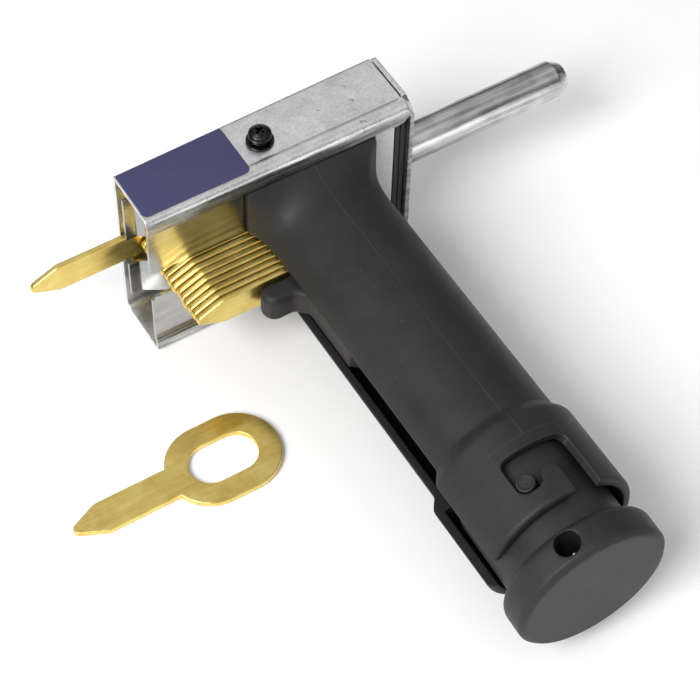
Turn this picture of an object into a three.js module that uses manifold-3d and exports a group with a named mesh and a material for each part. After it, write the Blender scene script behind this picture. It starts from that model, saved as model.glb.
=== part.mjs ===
// Magazine feeder for brass pull keys: a sheet steel feed housing with a sliding shank,
// a slotted tube handle that holds the stack of keys, and a sprung bayonet end cap.
// Millimetres. X runs from the front mouth to the shank, the handle points to -Y, Z is up.
import * as THREE from 'three';
import { mergeVertices } from 'three/addons/utils/BufferGeometryUtils.js';
import Module from 'manifold-3d';

const wasm = await Module();
wasm.setup();

// ---------------------------------------------------------------- driving dimensions
const CLEAR = 0.3;

const HOUSING = { length: 72.7, depth: 17.6, height: 51, sheet: 1, lip: 5, lowerLip: 3.8 };
const BEND = { nearTop: 2.6, farTop: 1.3, farBottom: 3.4, nearBottom: 1.8 };
const REAR_PLATE = { front: 73.1, thick: 1.4, corner: 1.2 };
const REAR_PAD = { front: 69.8, thick: 1.35, gap: CLEAR, corner: 2.2 };
const AXIS_Z = HOUSING.height / 2;

const KEY = {
  thick: 1.6, tang: 25.9, tangWidth: 8.6, point: 7.4, tipRadius: 1.5,
  ringLength: 29.8, ringWidth: 22.9, band: 5.8,
};
const STACK = { count: 15, pitch: 1.94, tipX: 4.4, frontY: -1.3 };
const KEY_STROKE = KEY.ringLength;
const KEY_ARC = 6;

const SHANK = { radius: 5, y: -9, front: 66, end: 126.5, chamfer: 3.1, neck: 3.4 };
const PUSHER = { height: 8, thick: KEY.thick, back: 66, block: 5.2, blockY: -11.5 };

const HANDLE = { x: 45.6, radius: 17.5, bore: 15.4, slot: 10.8, front: -17.1, end: -126.3 };
const FLANGE = { left: 26.9, right: 63.3, bottom: 4.2, top: 45.6, back: -15, blendEnd: -29 };
const COLLAR = { radius: 19.6, bore: 17.3, start: -100.6, blend: 2.6, rim: 1 };
const WINDOW = { top: -111.3, left: 116.6, pocketRight: 98, slotLeft: 84, slotRight: 63, toothTop: -117.4 };
const POCKET_BOTTOM = -121.3;

const CAP = { plug: 16.9, plugTop: -109.2, radius: 19.5, shoulder: -131.8, end: -141.4, edge: 1.6 };
const CAP_WALL = 2.4;
const CAP_HOLE = { y: -136.2, radius: 3, angle: 109, floor: 3 };
const PIN = { y: -118.8, radius: 2.25, angle: 107.6, top: 19.2, dimple: 0.8 };

const FOLLOWER = { face: -32.5, end: -63, radius: 15, skirt: 13.4, bore: 12.2, head: 4 };
const RIB = { width: 8.4, end: -59.2 };
const LUG = { reach: 25.2, width: 8.4, back: -38.8, round: 2.9 };
const SPRING = { radius: 11, wire: 0.6, turns: 12, steps: 10, sides: 2, from: -37.2, to: -127.6 };

const UPPER_GUIDE = { y: -15.5, thick: 1, bottom: 30.3, top: 48.2, right: 26.4, chamfer: 1 };
const LOWER_GUIDE = { bottom: 2.8, top: 20.7 };
const REAR_GUIDE = { left: 63.8, right: 69.4 };
const FEED = { y: -3.4, thick: 0.8, bend: 3.2, reach: 9.8, lean: 30.5, top: 45.2, bottom: 8.7, slot: 9.7, notch: 2 };

const SCREW = { x: 35.7, y: -8.6, shaft: 1.5, head: 2.9, headHeight: 2.1, cross: 0.7, length: 4.6 };
const WASHER = { radius: 3.5, thick: 0.5, gap: CLEAR };
const LOCK_WASHER = { radius: 2.7, thick: 0.7, split: 0.8 };
const NUT = { flats: 5.5, height: 2.2 };
const LABEL = { right: 29.4, near: -15.7, far: -0.9, thick: 0.15, corner: 1.6 };

const LOOSE_KEY = { tipX: -42.8, y: -54.5 };
const ROUND_SIDES = 48;

// ---------------------------------------------------------------- finishes
const finish = (color, metalness, roughness) => new THREE.MeshStandardMaterial({ color, metalness, roughness });
const ZINC = finish(0xb9b9b9, 1, 0.35);
const STEEL = finish(0xa7a7a6, 1, 0.25);
const BRASS = finish(0xc9a24a, 1, 0.3);
const BLACK = finish(0x3a3a3a, 0, 0.55);
const RUBBER = finish(0x303030, 0, 0.75);
const BLACK_STEEL = finish(0x262626, 1, 0.4);
const LABEL_BLUE = finish(0x50506f, 0, 0.5);

// ---------------------------------------------------------------- solids
const axes = (x, y, z) => new THREE.Matrix4().makeBasis(
  new THREE.Vector3(...x), new THREE.Vector3(...y), new THREE.Vector3(...z));
const YZ_ALONG_X = axes([0, 1, 0], [0, 0, 1], [1, 0, 0]);
const XZ_ALONG_MINUS_Y = axes([1, 0, 0], [0, 0, 1], [0, -1, 0]);

function toSolid(geometry) {
  const bare = geometry.index ? geometry.toNonIndexed() : geometry.clone();
  bare.deleteAttribute('normal');
  bare.deleteAttribute('uv');
  const merged = mergeVertices(bare, 1e-4);
  const mesh = new wasm.Mesh({
    numProp: 3,
    vertProperties: new Float32Array(merged.attributes.position.array),
    triVerts: new Uint32Array(merged.index.array),
  });
  return new wasm.Manifold(mesh);
}

function toGeometry(solid) {
  const mesh = solid.getMesh();
  const geometry = new THREE.BufferGeometry();
  geometry.setAttribute('position', new THREE.BufferAttribute(new Float32Array(mesh.vertProperties), 3));
  geometry.setIndex(new THREE.BufferAttribute(new Uint32Array(mesh.triVerts), 1));
  geometry.computeVertexNormals();
  return geometry;
}

const join = (...geometries) => toGeometry(geometries.map(toSolid).reduce((a, b) => a.add(b)));
const cut = (body, ...tools) => toGeometry(tools.map(toSolid).reduce((a, b) => a.subtract(b), toSolid(body)));

function box(x0, x1, y0, y1, z0, z1) {
  const geometry = new THREE.BoxGeometry(x1 - x0, Math.abs(y1 - y0), z1 - z0);
  return geometry.translate((x0 + x1) / 2, (y0 + y1) / 2, (z0 + z1) / 2);
}

function extrude(shape, depth, curveSegments = 8) {
  return new THREE.ExtrudeGeometry(shape, { depth, bevelEnabled: false, curveSegments });
}

// A plate drawn in X and Z, from y = front towards -Y.
const plateXZ = (shape, front, thick, segments) => extrude(shape, thick, segments)
  .applyMatrix4(XZ_ALONG_MINUS_Y).translate(0, front, 0);

// A plate or section drawn in Y and Z, from x = start towards +X.
const sectionYZ = (shape, start, length, segments) => extrude(shape, length, segments)
  .applyMatrix4(YZ_ALONG_X).translate(start, 0, 0);

function roundedRect(x0, y0, x1, y1, r) {
  const shape = new THREE.Shape();
  shape.moveTo(x0 + r, y0);
  shape.lineTo(x1 - r, y0);
  shape.absarc(x1 - r, y0 + r, r, -Math.PI / 2, 0);
  shape.lineTo(x1, y1 - r);
  shape.absarc(x1 - r, y1 - r, r, 0, Math.PI / 2);
  shape.lineTo(x0 + r, y1);
  shape.absarc(x0 + r, y1 - r, r, Math.PI / 2, Math.PI);
  shape.lineTo(x0, y0 + r);
  shape.absarc(x0 + r, y0 + r, r, Math.PI, Math.PI * 1.5);
  return shape;
}

// A turned piece about the handle's own axis; points are [radius, y], from the axis back to it.
function turnedY(points, sides = ROUND_SIDES) {
  const profile = points.map(([radius, y]) => new THREE.Vector2(radius, y));
  return new THREE.LatheGeometry(profile, sides).translate(HANDLE.x, 0, AXIS_Z);
}

const rodY = (radius, y0, y1, sides = ROUND_SIDES) =>
  turnedY([[0, Math.min(y0, y1)], [radius, Math.min(y0, y1)], [radius, Math.max(y0, y1)], [0, Math.max(y0, y1)]], sides);

// A rod about a vertical axis through (x, y).
function rodZ(x, y, radius, z0, z1, sides = 24) {
  return new THREE.CylinderGeometry(radius, radius, z1 - z0, sides)
    .rotateX(Math.PI / 2).translate(x, y, (z0 + z1) / 2);
}

// A rod that leaves the handle's axis at an angle from +X towards +Z, between two radii.
function radialRod(angle, y, radius, from, to, sides = 20) {
  const turn = THREE.MathUtils.degToRad(angle);
  return new THREE.CylinderGeometry(radius, radius, to - from, sides)
    .rotateZ(-Math.PI / 2).translate((from + to) / 2, 0, 0)
    .rotateY(-turn).translate(HANDLE.x, y, AXIS_Z);
}

// ---------------------------------------------------------------- feed housing
// Folded channel: top, far wall and bottom in one sheet, with a short lip along the near edges.
function channelShape() {
  const { depth, height, sheet, lip, lowerLip } = HOUSING;
  const { nearTop, farTop, farBottom, nearBottom } = BEND;
  const shape = new THREE.Shape();
  const quarter = Math.PI / 2;
  shape.moveTo(-depth, height - lip);
  shape.lineTo(-depth, height - nearTop);
  shape.absarc(-depth + nearTop, height - nearTop, nearTop, Math.PI, quarter, true);
  shape.lineTo(-farTop, height);
  shape.absarc(-farTop, height - farTop, farTop, quarter, 0, true);
  shape.lineTo(0, farBottom);
  shape.absarc(-farBottom, farBottom, farBottom, 0, -quarter, true);
  shape.lineTo(-depth + nearBottom, 0);
  shape.absarc(-depth + nearBottom, nearBottom, nearBottom, -quarter, -Math.PI, true);
  shape.lineTo(-depth, lowerLip);
  shape.lineTo(-depth + sheet, lowerLip);
  shape.lineTo(-depth + sheet, nearBottom);
  shape.absarc(-depth + nearBottom, nearBottom, nearBottom - sheet, Math.PI, Math.PI + quarter, false);
  shape.lineTo(-farBottom, sheet);
  shape.absarc(-farBottom, farBottom, farBottom - sheet, -quarter, 0, false);
  shape.lineTo(-sheet, height - farTop);
  shape.absarc(-farTop, height - farTop, farTop - sheet, 0, quarter, false);
  shape.lineTo(-depth + nearTop, height - sheet);
  shape.absarc(-depth + nearTop, height - nearTop, nearTop - sheet, quarter, Math.PI, false);
  shape.lineTo(-depth + sheet, height - lip);
  return shape;
}

function housingChannel() {
  const hole = rodZ(SCREW.x, SCREW.y, SCREW.shaft + CLEAR, HOUSING.height - 2, HOUSING.height + 1, 20);
  return cut(sectionYZ(channelShape(), 0, HOUSING.length, 5), hole);
}

// Opening for the shank and the pusher tongue beside it.
function keyhole(x0, x1) {
  const { y, radius } = SHANK;
  const half = PUSHER.height / 2 + CLEAR;
  const round = new THREE.CylinderGeometry(radius + CLEAR, radius + CLEAR, x1 - x0, 32)
    .rotateZ(Math.PI / 2).translate((x0 + x1) / 2, y, AXIS_Z);
  return join(round, box(x0, x1, STACK.frontY + 0.2, y, AXIS_Z - half, AXIS_Z + half));
}

function rearPlate() {
  const shape = roundedRect(-HOUSING.depth, 0, 0, HOUSING.height, REAR_PLATE.corner);
  const plate = sectionYZ(shape, REAR_PLATE.front, REAR_PLATE.thick, 4);
  return cut(plate, keyhole(REAR_PLATE.front - 1, REAR_PLATE.front + REAR_PLATE.thick + 1));
}

function rearPad(index) {
  const start = REAR_PAD.front + index * (REAR_PAD.thick + REAR_PAD.gap);
  const inset = HOUSING.sheet + CLEAR;
  const near = -HOUSING.depth + inset;
  const shape = roundedRect(near, inset, -inset + 0.1, HOUSING.height - inset, REAR_PAD.corner);
  return cut(sectionYZ(shape, start, REAR_PAD.thick, 4), keyhole(start - 1, start + REAR_PAD.thick + 1));
}

// ---------------------------------------------------------------- guides inside the housing
function upperGuide() {
  const { y, thick, bottom, top, right, chamfer } = UPPER_GUIDE;
  const shape = new THREE.Shape();
  shape.moveTo(0.2, bottom);
  shape.lineTo(right, bottom);
  shape.lineTo(right, top);
  shape.lineTo(0.2 + chamfer, top);
  shape.lineTo(0.2, top - chamfer);
  return plateXZ(shape, y, thick);
}

function lowerGuide() {
  const { bottom, top } = LOWER_GUIDE;
  const shape = new THREE.Shape();
  shape.moveTo(0.2, bottom);
  shape.lineTo(UPPER_GUIDE.right, bottom);
  shape.lineTo(UPPER_GUIDE.right, top);
  shape.lineTo(0.2 + UPPER_GUIDE.chamfer, top);
  shape.lineTo(0.2, top - UPPER_GUIDE.chamfer);
  return plateXZ(shape, UPPER_GUIDE.y, UPPER_GUIDE.thick);
}

const rearGuide = () => box(REAR_GUIDE.left, REAR_GUIDE.right, UPPER_GUIDE.y - UPPER_GUIDE.thick,
  UPPER_GUIDE.y, LOWER_GUIDE.bottom, UPPER_GUIDE.top);

// Bent sheets above and below the tangs: they keep the front key in its lane and lead the next tips past it.
function feedGuide(bottom, top, notchZ) {
  const { y, thick, bend, reach, lean, notch } = FEED;
  const drop = (reach - bend) * Math.tan(THREE.MathUtils.degToRad(lean));
  const plan = new THREE.Shape();
  plan.moveTo(0.2, y);
  plan.lineTo(bend, y);
  plan.lineTo(reach, y - drop);
  plan.lineTo(reach, y - drop - thick);
  plan.lineTo(bend - 0.2, y - thick);
  plan.lineTo(0.2, y - thick);
  const sheet = extrude(plan, top - bottom).translate(0, 0, bottom);
  const corner = new THREE.CylinderGeometry(notch, notch, 3, 4).translate(0.2, y - thick / 2, notchZ);
  return cut(sheet, corner);
}

// ---------------------------------------------------------------- brass keys
// Tang tapering to a round tip, then a stadium ring. Drawn with the tip at the origin, along +X.
function keyShape() {
  const { tang, tangWidth, point, tipRadius, ringLength, ringWidth, band } = KEY;
  const half = tangWidth / 2;
  const big = ringWidth / 2;
  const start = tang + big;
  const end = tang + ringLength - big;
  const meet = Math.asin(half / big);
  const taper = point - tipRadius;
  const touch = Math.atan2(half, taper) + Math.acos(tipRadius / Math.hypot(taper, half));
  const shape = new THREE.Shape();
  shape.moveTo(point, -half);
  shape.lineTo(start - big * Math.cos(meet), -half);
  shape.absarc(start, 0, big, Math.PI + meet, Math.PI * 1.5);
  shape.lineTo(end, -big);
  shape.absarc(end, 0, big, -Math.PI / 2, Math.PI / 2);
  shape.lineTo(start, big);
  shape.absarc(start, 0, big, Math.PI / 2, Math.PI - meet);
  shape.lineTo(point, half);
  shape.absarc(tipRadius, 0, tipRadius, touch, Math.PI * 2 - touch);
  const hole = new THREE.Path();
  hole.absarc(start, 0, big - band, Math.PI / 2, Math.PI * 1.5);
  hole.absarc(end, 0, big - band, -Math.PI / 2, Math.PI / 2);
  hole.closePath();
  shape.holes.push(hole);
  return shape;
}

const uprightKey = (tipX, frontY) => plateXZ(keyShape(), frontY, KEY.thick, KEY_ARC).translate(tipX, 0, AXIS_Z);
const lyingKey = () => extrude(keyShape(), KEY.thick, KEY_ARC).translate(LOOSE_KEY.tipX, LOOSE_KEY.y, 0);

// ---------------------------------------------------------------- shank and pusher
function shank() {
  const { radius, y, front, end, chamfer, neck } = SHANK;
  const profile = [[0, front], [radius, front], [radius, end - chamfer], [neck, end], [0, end]]
    .map(([r, x]) => new THREE.Vector2(r, x));
  return new THREE.LatheGeometry(profile, 40).rotateZ(-Math.PI / 2).translate(0, y, AXIS_Z);
}

function pusher() {
  const { height, thick, back, block, blockY } = PUSHER;
  const front = STACK.tipX - KEY_STROKE + KEY.tang + KEY.ringLength + CLEAR;
  const z0 = AXIS_Z - height / 2;
  const z1 = AXIS_Z + height / 2;
  const tongue = box(front, back - CLEAR, STACK.frontY - thick, STACK.frontY, z0, z1);
  const head = box(back - CLEAR - block, back - CLEAR, blockY, STACK.frontY - thick / 2, z0, z1);
  return join(tongue, head);
}

// ---------------------------------------------------------------- handle
// Outline of the grip at one depth: a rounded rectangle that turns into a circle.
function gripRing(share, count) {
  const centreX = (FLANGE.left + FLANGE.right) / 2;
  const centreZ = (FLANGE.bottom + FLANGE.top) / 2;
  const halfX = (FLANGE.right - FLANGE.left) / 2;
  const halfZ = (FLANGE.top - FLANGE.bottom) / 2;
  const ring = [];
  for (let i = 0; i < count; i += 1) {
    const angle = (i / count) * Math.PI * 2;
    const c = Math.cos(angle);
    const s = Math.sin(angle);
    const reach = Math.min(halfX / Math.max(Math.abs(c), 1e-6), halfZ / Math.max(Math.abs(s), 1e-6));
    const squareX = centreX + c * reach;
    const squareZ = centreZ + s * reach;
    const roundX = HANDLE.x + c * HANDLE.radius;
    const roundZ = AXIS_Z + s * HANDLE.radius;
    ring.push([squareX + (roundX - squareX) * share, squareZ + (roundZ - squareZ) * share]);
  }
  return ring;
}

// Closed skin through a list of rings [y, ring], with flat ends.
function loft(sections) {
  const count = sections[0].ring.length;
  const positions = [];
  const at = (section, i) => [section.ring[i % count][0], section.y, section.ring[i % count][1]];
  const middle = (section) => {
    const sum = section.ring.reduce(([a, b], [x, z]) => [a + x, b + z], [0, 0]);
    return [sum[0] / count, section.y, sum[1] / count];
  };
  for (let k = 0; k + 1 < sections.length; k += 1) {
    for (let i = 0; i < count; i += 1) {
      const [a, b] = [at(sections[k], i), at(sections[k], i + 1)];
      const [c, d] = [at(sections[k + 1], i), at(sections[k + 1], i + 1)];
      positions.push(...a, ...b, ...d, ...a, ...d, ...c);
    }
  }
  const [first, last] = [sections[0], sections[sections.length - 1]];
  for (let i = 0; i < count; i += 1) {
    positions.push(...middle(first), ...at(first, i + 1), ...at(first, i));
    positions.push(...middle(last), ...at(last, i), ...at(last, i + 1));
  }
  const geometry = new THREE.BufferGeometry();
  geometry.setAttribute('position', new THREE.BufferAttribute(new Float32Array(positions), 3));
  return geometry;
}

function gripBody() {
  const steps = 7;
  const count = 56;
  const sections = [{ y: FLANGE.back, ring: gripRing(0, count) }];
  for (let k = 0; k <= steps; k += 1) {
    const t = k / steps;
    const share = 1 - (1 - t) ** 3;
    sections.push({ y: HANDLE.front - 1 + (FLANGE.blendEnd - HANDLE.front + 1) * t, ring: gripRing(share, count) });
  }
  sections.push({ y: COLLAR.start + 1, ring: gripRing(1, count) });
  return loft(sections);
}

function collarBody() {
  const { radius, start, blend, rim } = COLLAR;
  return turnedY([
    [0, HANDLE.end], [radius - rim, HANDLE.end], [radius, HANDLE.end + rim],
    [radius, start - blend], [HANDLE.radius + 0.4, start], [HANDLE.radius - 1, start + 2], [0, start + 2],
  ], 56);
}

// Wedge of the collar wall between two angles and two depths.
function collarWedge(from, to, y0, y1) {
  const shape = new THREE.Shape();
  const [a, b] = [THREE.MathUtils.degToRad(from), THREE.MathUtils.degToRad(to)];
  shape.absarc(0, 0, COLLAR.radius + 2, a, b, false);
  shape.absarc(0, 0, COLLAR.bore - 2, b, a, true);
  shape.closePath();
  return plateXZ(shape, Math.max(y0, y1), Math.abs(y1 - y0), 8).translate(HANDLE.x, 0, AXIS_Z);
}

function handleGrip() {
  const past = HANDLE.end - 5;
  const tools = [
    rodY(HANDLE.bore, FLANGE.back + 1, past),
    rodY(COLLAR.bore, -104, past),
    box(FLANGE.left - 1, HANDLE.x, past, FLANGE.back + 1, AXIS_Z - HANDLE.slot / 2, AXIS_Z + HANDLE.slot / 2),
    collarWedge(WINDOW.slotRight, WINDOW.left, WINDOW.toothTop, WINDOW.top),
    collarWedge(WINDOW.pocketRight, WINDOW.left, POCKET_BOTTOM, WINDOW.toothTop + 0.5),
    collarWedge(WINDOW.slotRight, WINDOW.slotLeft, past, WINDOW.toothTop + 0.5),
  ];
  return cut(join(gripBody(), collarBody()), ...tools);
}

// ---------------------------------------------------------------- follower, spring and end cap
function follower() {
  const { face, end, radius, skirt, bore, head } = FOLLOWER;
  const cup = turnedY([
    [0, face], [radius - 0.8, face], [radius, face - 0.8], [radius, face - head], [skirt, face - head],
    [skirt, end], [bore, end], [bore, face - head], [0, face - head],
  ].reverse());
  const inner = HANDLE.x - bore - 0.5;
  const half = RIB.width / 2;
  const rib = box(HANDLE.x - radius, inner, RIB.end, face - 0.5, AXIS_Z - half, AXIS_Z + half);
  const lugShape = roundedRect(HANDLE.x - LUG.reach, LUG.back, inner, face - 0.2, LUG.round);
  const lug = extrude(lugShape, LUG.width, 6).translate(0, 0, AXIS_Z - LUG.width / 2);
  return join(cup, rib, lug);
}

class Coil extends THREE.Curve {
  getPoint(t, target = new THREE.Vector3()) {
    const angle = t * SPRING.turns * Math.PI * 2;
    const y = SPRING.from + (SPRING.to - SPRING.from) * t;
    return target.set(HANDLE.x + SPRING.radius * Math.cos(angle), y, AXIS_Z + SPRING.radius * Math.sin(angle));
  }
}

function magazineSpring() {
  const section = new THREE.Shape();
  section.absarc(0, 0, SPRING.wire, 0, Math.PI * 2);
  const steps = SPRING.turns * SPRING.steps;
  return new THREE.ExtrudeGeometry(section, {
    steps, curveSegments: SPRING.sides, extrudePath: new Coil(), bevelEnabled: false,
  });
}

function endCap() {
  const { plug, plugTop, radius, shoulder, end, edge } = CAP;
  const inner = plug - CAP_WALL;
  const floor = shoulder + CAP_HOLE.floor;
  const body = turnedY([
    [0, end], [radius - edge, end], [radius - edge * 0.3, end + edge * 0.3], [radius, end + edge],
    [radius, shoulder - edge], [radius - edge * 0.3, shoulder - edge * 0.3], [radius - edge, shoulder],
    [plug, shoulder], [plug, plugTop], [inner, plugTop], [inner, floor], [0, floor],
  ]);
  const pinHole = radialRod(PIN.angle, PIN.y, PIN.radius + CLEAR, inner - 3, plug + 2);
  const crossHole = radialRod(CAP_HOLE.angle, CAP_HOLE.y, CAP_HOLE.radius, -radius - 2, radius + 2, 24);
  return cut(body, pinHole, crossHole);
}

function bayonetPin() {
  const stud = radialRod(PIN.angle, PIN.y, PIN.radius, CAP.plug - CAP_WALL + 0.2, PIN.top, 24);
  return cut(stud, radialRod(PIN.angle, PIN.y, PIN.dimple, PIN.top - 0.5, PIN.top + 1, 12));
}

// ---------------------------------------------------------------- top screw and label
const washerFloor = HOUSING.height + WASHER.gap;

function flatWasher() {
  const disc = rodZ(SCREW.x, SCREW.y, WASHER.radius, washerFloor, washerFloor + WASHER.thick, 32);
  return cut(disc, rodZ(SCREW.x, SCREW.y, SCREW.shaft + CLEAR, washerFloor - 1, washerFloor + 2));
}

function lockWasher() {
  const z0 = washerFloor + WASHER.thick + CLEAR;
  const disc = rodZ(SCREW.x, SCREW.y, LOCK_WASHER.radius, z0, z0 + LOCK_WASHER.thick, 28);
  const hole = rodZ(SCREW.x, SCREW.y, SCREW.shaft + CLEAR, z0 - 1, z0 + 2);
  const split = box(SCREW.x + 1, SCREW.x + 4, SCREW.y, SCREW.y + LOCK_WASHER.split, z0 - 1, z0 + 2);
  return cut(disc, hole, split);
}

function topScrew() {
  const z0 = washerFloor + WASHER.thick + LOCK_WASHER.thick + 2 * CLEAR;
  const top = z0 + SCREW.headHeight;
  const head = [[0, z0], [SCREW.head, z0], [SCREW.head, z0 + 0.9], [SCREW.head * 0.86, z0 + 1.6],
    [SCREW.head * 0.55, top], [0, top]].map(([r, z]) => new THREE.Vector2(r, z));
  const dome = new THREE.LatheGeometry(head, 28).rotateX(Math.PI / 2).translate(SCREW.x, SCREW.y, 0);
  const shaft = rodZ(SCREW.x, SCREW.y, SCREW.shaft, z0 - SCREW.length - 2, z0 + 0.5);
  const arm = SCREW.head * 0.62;
  const half = SCREW.cross / 2;
  const recess = [
    box(SCREW.x - arm, SCREW.x + arm, SCREW.y - half, SCREW.y + half, top - 1.1, top + 1),
    box(SCREW.x - half, SCREW.x + half, SCREW.y - arm, SCREW.y + arm, top - 1.1, top + 1),
  ];
  return cut(join(dome, shaft), ...recess);
}

function hexNut() {
  const top = HOUSING.height - HOUSING.sheet - CLEAR;
  const radius = NUT.flats / Math.sqrt(3);
  const body = rodZ(SCREW.x, SCREW.y, radius, top - NUT.height, top, 6);
  return cut(body, rodZ(SCREW.x, SCREW.y, SCREW.shaft + CLEAR, top - NUT.height - 1, top + 1, 20));
}

function topLabel() {
  const { right, near, far, thick, corner } = LABEL;
  const shape = roundedRect(0.3, near, right, far, corner);
  return extrude(shape, thick, 5).translate(0, 0, HOUSING.height + 0.02);
}

// ---------------------------------------------------------------- assembly
const feeder = new THREE.Group();

function add(name, geometry, material) {
  const mesh = new THREE.Mesh(geometry, material);
  mesh.name = name;
  feeder.add(mesh);
}

add('housing_channel', housingChannel(), ZINC);
add('rear_plate', rearPlate(), ZINC);
add('rear_pad_inner', rearPad(0), RUBBER);
add('rear_pad_outer', rearPad(1), RUBBER);
add('upper_guide_plate', upperGuide(), STEEL);
add('lower_guide_plate', lowerGuide(), STEEL);
add('rear_guide_plate', rearGuide(), STEEL);
add('upper_feed_guide', feedGuide(AXIS_Z + FEED.slot / 2, FEED.top, FEED.top), STEEL);
add('lower_feed_guide', feedGuide(FEED.bottom, AXIS_Z - FEED.slot / 2, FEED.bottom), STEEL);
add('top_label', topLabel(), LABEL_BLUE);
add('flat_washer', flatWasher(), BLACK_STEEL);
add('lock_washer', lockWasher(), BLACK_STEEL);
add('top_screw', topScrew(), BLACK_STEEL);
add('hex_nut', hexNut(), BLACK_STEEL);
add('handle_grip', handleGrip(), BLACK);
add('shank', shank(), STEEL);
add('pusher', pusher(), STEEL);
add('front_key', uprightKey(STACK.tipX - KEY_STROKE, STACK.frontY), BRASS);
for (let i = 1; i <= STACK.count; i += 1) {
  const name = `stack_key_${String(i).padStart(2, '0')}`;
  add(name, uprightKey(STACK.tipX, STACK.frontY - i * STACK.pitch), BRASS);
}
add('follower', follower(), BLACK);
add('magazine_spring', magazineSpring(), STEEL);
add('end_cap', endCap(), BLACK);
add('bayonet_pin', bayonetPin(), BLACK);
add('loose_key', lyingKey(), BRASS);

// The origin is the middle of the whole set's box, on the surface it stands on.
const nearEnd = CAP.end;
const farEnd = 0;
feeder.position.set(-(LOOSE_KEY.tipX + SHANK.end) / 2, -(nearEnd + farEnd) / 2, 0);

export default feeder;
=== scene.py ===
"""Looks of a magazine feeder for brass pull keys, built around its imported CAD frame."""
import logging
import math
import random
from dataclasses import dataclass, field
from enum import Enum
from typing import Callable, Sequence

import bmesh
import bpy
from mathutils import Matrix, Vector


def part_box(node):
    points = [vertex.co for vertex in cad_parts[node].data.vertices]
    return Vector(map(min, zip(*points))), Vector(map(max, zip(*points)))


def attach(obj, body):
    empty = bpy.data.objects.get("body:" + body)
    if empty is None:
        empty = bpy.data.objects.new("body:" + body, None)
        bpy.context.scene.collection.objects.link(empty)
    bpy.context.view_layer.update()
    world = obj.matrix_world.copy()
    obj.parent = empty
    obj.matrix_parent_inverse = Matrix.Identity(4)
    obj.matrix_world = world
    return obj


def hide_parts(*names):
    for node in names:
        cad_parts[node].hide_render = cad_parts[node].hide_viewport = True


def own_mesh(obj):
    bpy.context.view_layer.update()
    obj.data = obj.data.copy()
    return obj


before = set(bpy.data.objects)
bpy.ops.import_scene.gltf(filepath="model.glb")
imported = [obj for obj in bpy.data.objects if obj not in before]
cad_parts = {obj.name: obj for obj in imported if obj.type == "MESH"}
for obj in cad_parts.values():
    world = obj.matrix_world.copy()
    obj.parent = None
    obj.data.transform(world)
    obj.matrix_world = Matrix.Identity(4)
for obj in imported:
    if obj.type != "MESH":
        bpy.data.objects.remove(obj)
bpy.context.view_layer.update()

LOG = logging.getLogger("feeder")
MM = 0.001
SMOOTH_ANGLE = math.radians(38)
Point = tuple[float, float]
Loop = list[Point]
Corner = tuple[float, float, float]
Colour = tuple[float, float, float]
Socket = bpy.types.NodeSocket

# The tool's own zero: the far, bottom corner at the mouth of the housing.
# X runs to the shank, -Y along the handle.
_HOUSING_LOW, _HOUSING_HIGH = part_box("housing_channel")
ZERO = Vector((_HOUSING_LOW.x, _HOUSING_HIGH.y, _HOUSING_LOW.z))


def at(x: float, y: float, z: float) -> Vector:
    """Point of the tool in scene metres, from its millimetres."""
    return ZERO + Vector((x, y, z)) * MM


class Body(str, Enum):
    """The moving bodies of the tool."""

    FRAME = "feeder_frame"
    SHANK = "shank_carriage"
    FRONT_KEY = "front_key_body"
    FOLLOWER = "follower_body"
    CAP = "cap_body"
    LOOSE_KEY = "loose_key_body"


class Slot(str, Enum):
    """The finishes that can be swapped, named by what they cover."""

    ZINC = "zinc_sheet"
    RUBBER = "black_rubber"
    GUIDE = "guide_steel"
    LABEL = "label_film"
    BLACK_STEEL = "black_steel"
    BRASS = "key_brass"
    SHANK = "shank_steel"
    PLASTIC = "black_plastic"
    SPRING = "spring_steel"


class Carve(Enum):
    """What a tool does to a solid."""

    CUT = "DIFFERENCE"
    JOIN = "UNION"


class Plane(Enum):
    """Where a flat outline is drawn, and which way its thickness goes."""

    YZ_ALONG_X = ((0, 1, 0), (0, 0, 1), (1, 0, 0))
    XZ_ALONG_NEAR = ((1, 0, 0), (0, 0, 1), (0, -1, 0))
    XY_ALONG_Z = ((1, 0, 0), (0, 1, 0), (0, 0, 1))

    def matrix(self, start: float) -> Matrix:
        """Placing matrix, with the first face at `start` along the thickness axis.

        Args:
            start: Place of the first face, in the tool's millimetres.

        Returns:
            Matrix from outline millimetres to scene metres.
        """
        u, v, w = (Vector(axis) for axis in self.value)
        turn = Matrix((u, v, w)).transposed().to_4x4()
        shift = abs(w.dot(Vector((1, 1, 1)))) * start
        origin = Vector(tuple(abs(c) * shift for c in w))
        return Matrix.Translation(ZERO) @ Matrix.Scale(MM, 4) @ Matrix.Translation(origin) @ turn


# ------------------------------------------------------------------ outlines
def arc(cx: float, cy: float, r: float, a0: float, a1: float, steps: int = 10) -> Loop:
    """Points on an arc, both ends included.

    Args:
        cx: Centre, first coordinate.
        cy: Centre, second coordinate.
        r: Radius.
        a0: Start angle in degrees.
        a1: End angle in degrees.
        steps: Number of chords.

    Returns:
        The points in order.
    """
    angles = [math.radians(a0 + (a1 - a0) * i / steps) for i in range(steps + 1)]
    return [(cx + r * math.cos(a), cy + r * math.sin(a)) for a in angles]


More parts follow.
